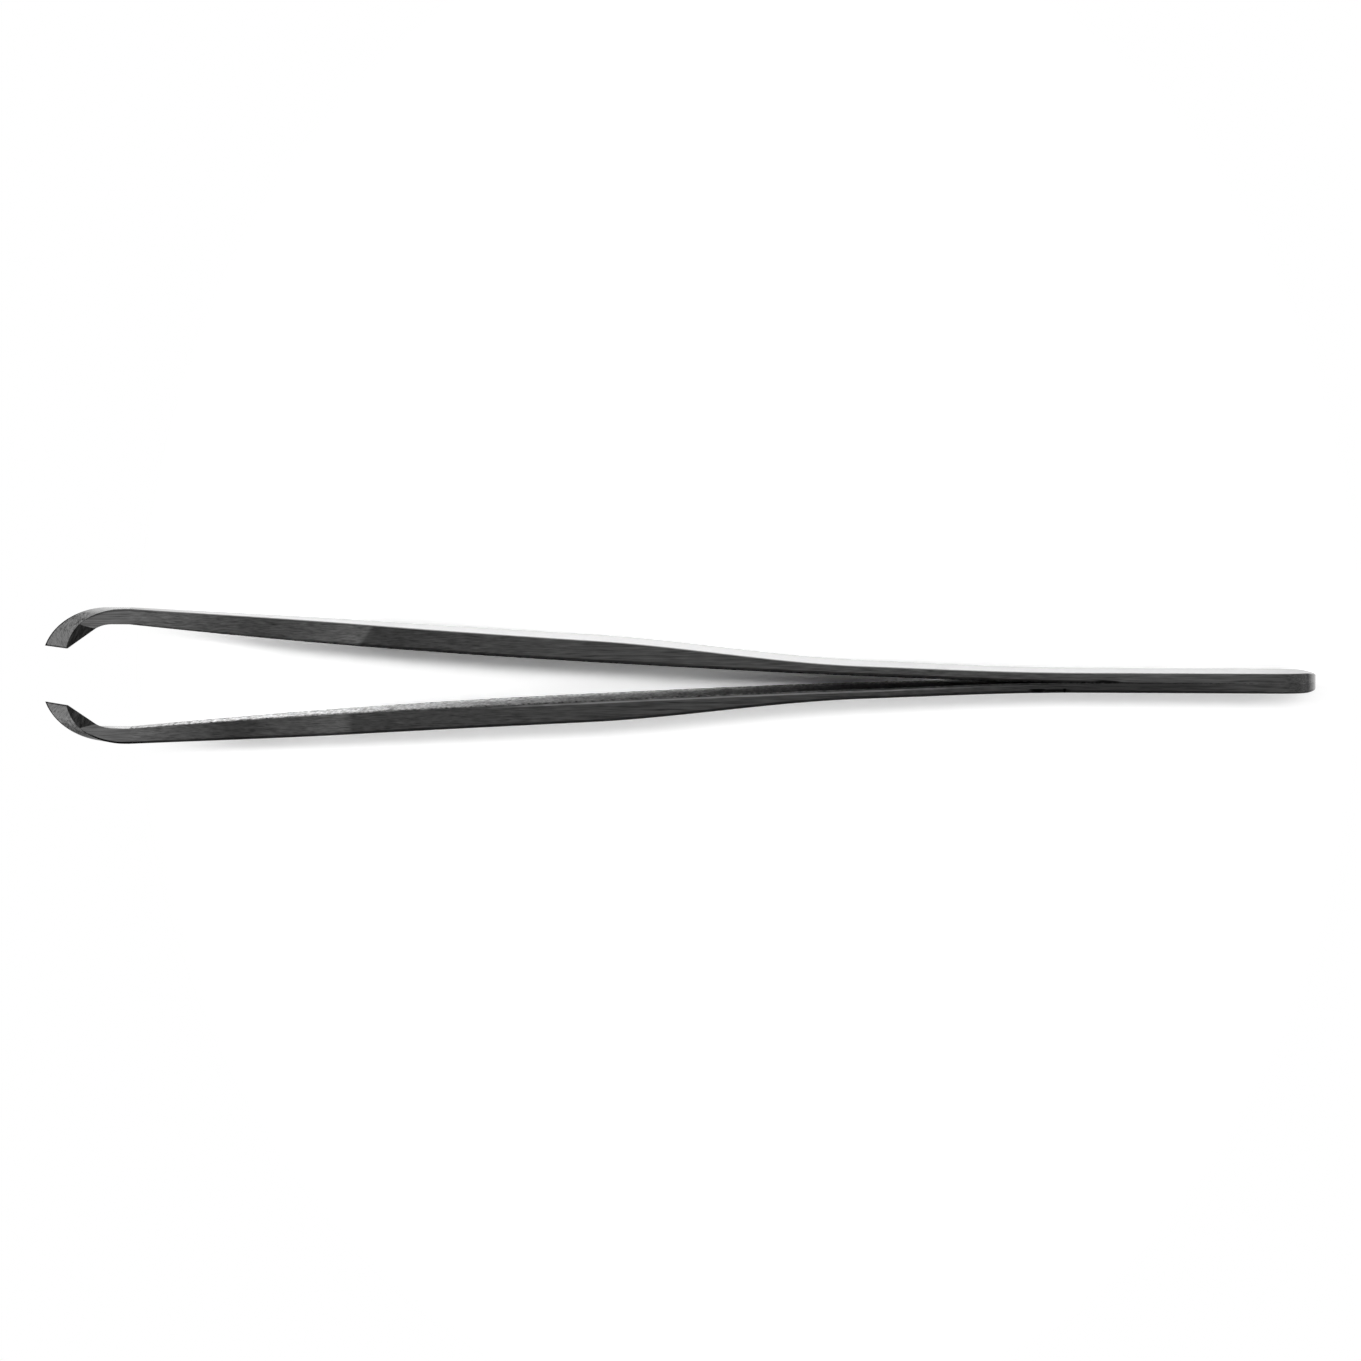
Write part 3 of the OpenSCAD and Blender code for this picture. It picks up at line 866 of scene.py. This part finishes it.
class TWEEZERS_OT_left_arm(bpy.types.Operator):
    """Build the left arm with its cutting head, and the notch, dent and nick in its edge"""

    bl_idname = "tweezers.left_arm"
    bl_label = "Left arm"

    def execute(self, context):
        # Each of the notch, the dent and the nick is painted darker as shade in it
        marks = [
            Mark(3, 89.6 * MM, 0.6 * MM, 0.32 * MM, 0.8),
            Mark(3, 91.3 * MM, 1.3 * MM, 0.08 * MM, 0.6),
            Mark(3, 92.1 * MM, 0.1 * MM, 0.5 * MM, 0.8)]
        # Painted light and shade on the inner face and its upper rounding, darker towards the rear
        # where the arms close in; a painted highlight along that rounding; along the outer upper
        # rounding a painted highlight at the tip, then painted shade
        lines = [
            Line(0, 1, [(28, 1.4), (33, 1.0), (41, 0.72), (50, 0.58), (59, 0.56), (68, 0.5),
                        (74, 0.22), (80, 0.12), (108, 0.12)]),
            Line(2, 5, [(28, 1.4), (34, 0.85), (42, 0.6), (50, 0.45), (59, 0.4), (68, 0.34),
                        (75, 0.15), (103, 0.15), (108, 0.7)]),
            Line(6, 7, [(38, 1.0), (42, 1.8), (50, 4.0), (59, 3.3), (68, 3.6), (77, 3.3),
                        (86, 1.2), (109, 1.0)]),
            Line(13, 18, [(2, 1.4), (3.5, 1.0), (4, 0.1), (8, 0.12), (12, 0.5), (100, 0.5),
                          (110, 0.8)])]
        tones = [(0.06, 2.3), (0.11, 1.42), (0.153, 0.7), (0.2, 1.25), (0.2405, 1.6),
                 (0.2445, 0.88), (0.6, 0.95), (0.75, 0.8), (0.79, 0.55), (0.9, 0.62),
                 (0.96, 1.0), (1.0, 0.9)]
        # Painted light and shade on the head, darker in its middle than on the right arm
        head_painted_light = [(0, 0.9), (0.14, 0.87), (0.28, 0.53), (0.42, 0.35), (0.54, 0.27),
                  (0.75, 0.35), (1.0, 4.2)]
        # Painted light on the flank facet of this arm
        finish_arm(context, "left_arm_ground", "left_arm", side=-1,
                   marks=marks, lines=lines, tones=tones, slant=0.0, head_painted_light=head_painted_light,
                   flank_painted_light=3.8)
        return {"FINISHED"}


# Half size of the floor in metres, and its level just under the part
FLOOR_HALF, FLOOR_LEVEL = 2.0, -0.02 * MM
# Border past which the camera sees the floor darker, as painted shade on the left arm's side:
# slope along the part, place across it at the middle of the length, nearest place to the seam,
# and half width of the change
SIDE_SLOPE, SIDE_AT, SIDE_LEAST, SIDE_SOFT = 0.066, -1.77 * MM, -0.5 * MM, 0.3 * MM
# Middle of the stretch whose shadow shows, along the part, and its squeeze across the part
FADE_MIDDLE, FADE_SQUEEZE = 6.5 * MM, 0.8
# Length of the lamps and their distance from the part, in metres
LAMP_L, LAMP_AWAY = 0.5, 0.6
# Shares across between which the surroundings change from overhead to beside the part, and
# heights between which the pale horizon ends
OVERHEAD_TO_BESIDE, HORIZON_ENDS = (0.15, 0.5), (0.03, 0.12)
# X and Y of the windows' directions, and degrees from their middle where they start and stop
# to fade
WINDOW_WAY, WINDOW_FADES = (0, 1), (16, 34)
FRONT_WAY, FRONT_FADES = (-1, 0), (10, 36)
WHITE = (1, 1, 1, 1)
# Width of the camera's film in millimetres and the nearest distance that it sees in metres
FILM_WIDTH, NEAREST = 36.0, 0.01
# What the camera aims at: a place near the part's middle, and steps from it to the right and
# up in the picture
AIM, AIM_RIGHT, AIM_UP = Vector((0.1068, 0, 4.6)) * MM, 0.045 * MM, -0.21 * MM


def flat_sheet(name, half, level):
    """A square sheet that faces up. Its corners are plus and minus the half along X and Y."""
    points = [(x, y, level) for x in (-half, half) for y in (-half, half)]
    mesh = bpy.data.meshes.new(name)
    mesh.from_pydata(points, [], [(2, 3, 1, 0)])
    return put_in_scene(name, mesh)


class TWEEZERS_OT_stage(bpy.types.Operator):
    """Set up the floor, the lamps, the surroundings and the camera"""

    bl_idname = "tweezers.stage"
    bl_label = "Stage"

    def execute(self, context):
        look = context.scene.tweezer_stage
        self.floor(look)
        self.lamps(look)
        self.surroundings(context.scene, look)
        self.camera(context.scene, look)
        context.scene.view_settings.view_transform = "Standard"
        return {"FINISHED"}

    def floor(self, look):
        """A pale floor just under the part, which shows its shadow and is white further off.

        It is clear from below, and the camera sees it darker on the left arm's side, as painted
        shade.
        """
        floor = flat_sheet("paper_floor", FLOOR_HALF, FLOOR_LEVEL)
        material, n, here = new_material("white_paper")
        path = n.add("ShaderNodeLightPath").outputs
        camera, glossy = path["Is Camera Ray"], path["Is Glossy Ray"]
        xyz = n.axes(here)
        # Painted shade on the floor for the camera, on the left arm's side of this border
        side = n.math("MULTIPLY_ADD", xyz["X"], SIDE_SLOPE, SIDE_AT)
        aside = n.math("SUBTRACT", xyz["Y"], n.math("MINIMUM", side, SIDE_LEAST))
        tone = n.between(aside, -SIDE_SOFT, SIDE_SOFT, look.floor_painted_shade_left, look.floor_seen)
        more = n.math("SUBTRACT", tone, look.floor_plain)
        given = n.math("MULTIPLY_ADD", camera, more, look.floor_plain)
        more = look.floor_mirrored - look.floor_plain
        given = n.math("MULTIPLY_ADD", glossy, more, given)
        spot = n.add("ShaderNodeMapping", {
            "Vector": here, "Location": (-FADE_MIDDLE / look.fade_half, 0, 0),
            "Scale": (1 / look.fade_half, FADE_SQUEEZE / look.fade_half, 0)}).outputs["Vector"]
        away = n.add("ShaderNodeVectorMath", {0: spot}, operation="LENGTH").outputs["Value"]
        fade = n.times(n.between(away, look.fade_from, look.fade_to),
                       n.math("MAXIMUM", camera, glossy))
        paper = n.add("ShaderNodeBsdfDiffuse", {"Color": given})
        white = n.add("ShaderNodeEmission", {"Color": WHITE, "Strength": 1.0})
        both = n.add("ShaderNodeMixShader", {0: fade, 1: paper.outputs[0], 2: white.outputs[0]})
        below = n.add("ShaderNodeNewGeometry").outputs["Backfacing"]
        clear = n.add("ShaderNodeBsdfTransparent")
        sheet = n.add("ShaderNodeMixShader", {0: below, 1: both.outputs[0], 2: clear.outputs[0]})
        n.add("ShaderNodeOutputMaterial", {"Surface": sheet.outputs[0]})
        floor.data.materials.append(material)
        floor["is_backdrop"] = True

    def lamps(self, look):
        """Four soft lamps, long in the direction of the part, which the steel doesn't mirror.

        They look at the part. A negative lean is to the left arm's side.
        """
        for name, watts, lean, width in (
            ("key", look.key_power, look.key_lean, look.key_width),
            ("halo", look.halo_power, look.halo_lean, look.halo_width),
            ("low", look.low_power, -look.low_lean, look.low_width),
            ("fill", look.fill_power, -look.fill_lean, look.fill_width),
        ):
            lamp = bpy.data.lights.new(name, "AREA")
            lamp.shape = "RECTANGLE"
            lamp.size, lamp.size_y = LAMP_L, width
            lamp.energy = watts
            item = put_in_scene(name + "_lamp", lamp)
            item.visible_glossy = False
            away = Vector((0.0, math.sin(lean), math.cos(lean)))
            across = Vector((1, 0, 0))
            turn = Matrix((across, away.cross(across), away)).transposed().to_4x4()
            item.matrix_world = Matrix.Translation(LAMP_AWAY * away) @ turn

    def surroundings(self, scene, look):
        """What the steel mirrors: dark with a pale horizon and two windows.

        Behind the part it is plain white.
        """
        world = bpy.data.worlds.new("surroundings")
        scene.world = world
        world.cycles_visibility.diffuse = False
        n = Nodes(world)
        way = n.add("ShaderNodeTexCoord").outputs["Generated"]
        xyz = n.axes(way)
        aside = n.math("ABSOLUTE", xyz["Y"])
        level = n.between(aside, *OVERHEAD_TO_BESIDE, look.overhead, look.beside)
        level = n.math("MAXIMUM", level, n.between(xyz["Z"], *HORIZON_ENDS, look.horizon, 0.0))
        for bright, height, ahead, fades in (
            (look.window, look.window_height, WINDOW_WAY, WINDOW_FADES),
            (look.front, look.front_height, FRONT_WAY, FRONT_FADES),
        ):
            middle = (math.cos(height) * ahead[0], math.cos(height) * ahead[1], math.sin(height))
            near = n.add("ShaderNodeVectorMath", {0: way, 1: middle},
                         operation="DOT_PRODUCT").outputs["Value"]
            inside, outside = (math.cos(math.radians(fade)) for fade in fades)
            level = n.math("ADD", level, n.between(near, outside, inside, 0.0, bright))
        seen = n.add("ShaderNodeLightPath").outputs["Is Camera Ray"]
        mixed = n.add("ShaderNodeMix", {0: seen, 6: level, 7: WHITE}, data_type="RGBA")
        background = n.add("ShaderNodeBackground", {"Color": mixed.outputs[2], "Strength": 1.0})
        n.add("ShaderNodeOutputWorld", {"Surface": background.outputs[0]})

    def camera(self, scene, look):
        """Camera above the part: its lean, turn and view are the photograph's."""
        lens = bpy.data.cameras.new("camera")
        lens.sensor_width = FILM_WIDTH
        lens.lens = FILM_WIDTH * look.camera_distance / look.picture_width
        lens.clip_start = NEAREST
        item = put_in_scene("camera", lens)
        tilt, roll = look.camera_tilt, look.camera_roll
        back = Vector((0, math.sin(tilt), math.cos(tilt)))
        level, rise = Vector((1, 0, 0)), Vector((0, math.cos(tilt), -math.sin(tilt)))
        right = level * math.cos(roll) + rise * math.sin(roll)
        up = rise * math.cos(roll) - level * math.sin(roll)
        place = AIM + AIM_RIGHT * right + AIM_UP * up + back * look.camera_distance
        turn = Matrix((right, up, back)).transposed().to_4x4()
        item.matrix_world = Matrix.Translation(place) @ turn
        scene.camera = item


class TWEEZERS_PT_sidebar(bpy.types.Panel):
    """Lists the steps that build the tweezers"""

    bl_idname = "TWEEZERS_PT_sidebar"
    bl_label = "Cutting tweezers"
    bl_space_type = "VIEW_3D"
    bl_region_type = "UI"
    bl_category = "Tweezers"

    def draw(self, context):
        for step in STEPS:
            self.layout.operator(step.bl_idname)


STEPS = (TWEEZERS_OT_stage, TWEEZERS_OT_right_arm, TWEEZERS_OT_left_arm)
CLASSES = (ArmSizes, SteelLook, StageLook, *STEPS, TWEEZERS_PT_sidebar)
GROUPS = {"tweezer_arm": ArmSizes, "tweezer_steel": SteelLook, "tweezer_stage": StageLook}


def register():
    """Register the classes and hang the property groups on the scene."""
    for item in CLASSES:
        bpy.utils.register_class(item)
    for name, group in GROUPS.items():
        setattr(bpy.types.Scene, name, bpy.props.PointerProperty(type=group))


def unregister():
    """Undo register."""
    for name in GROUPS:
        delattr(bpy.types.Scene, name)
    for item in reversed(CLASSES):
        bpy.utils.unregister_class(item)


def main():
    register()
    bpy.ops.tweezers.stage()
    bpy.ops.tweezers.right_arm()
    bpy.ops.tweezers.left_arm()


if __name__ == "__main__":
    main()
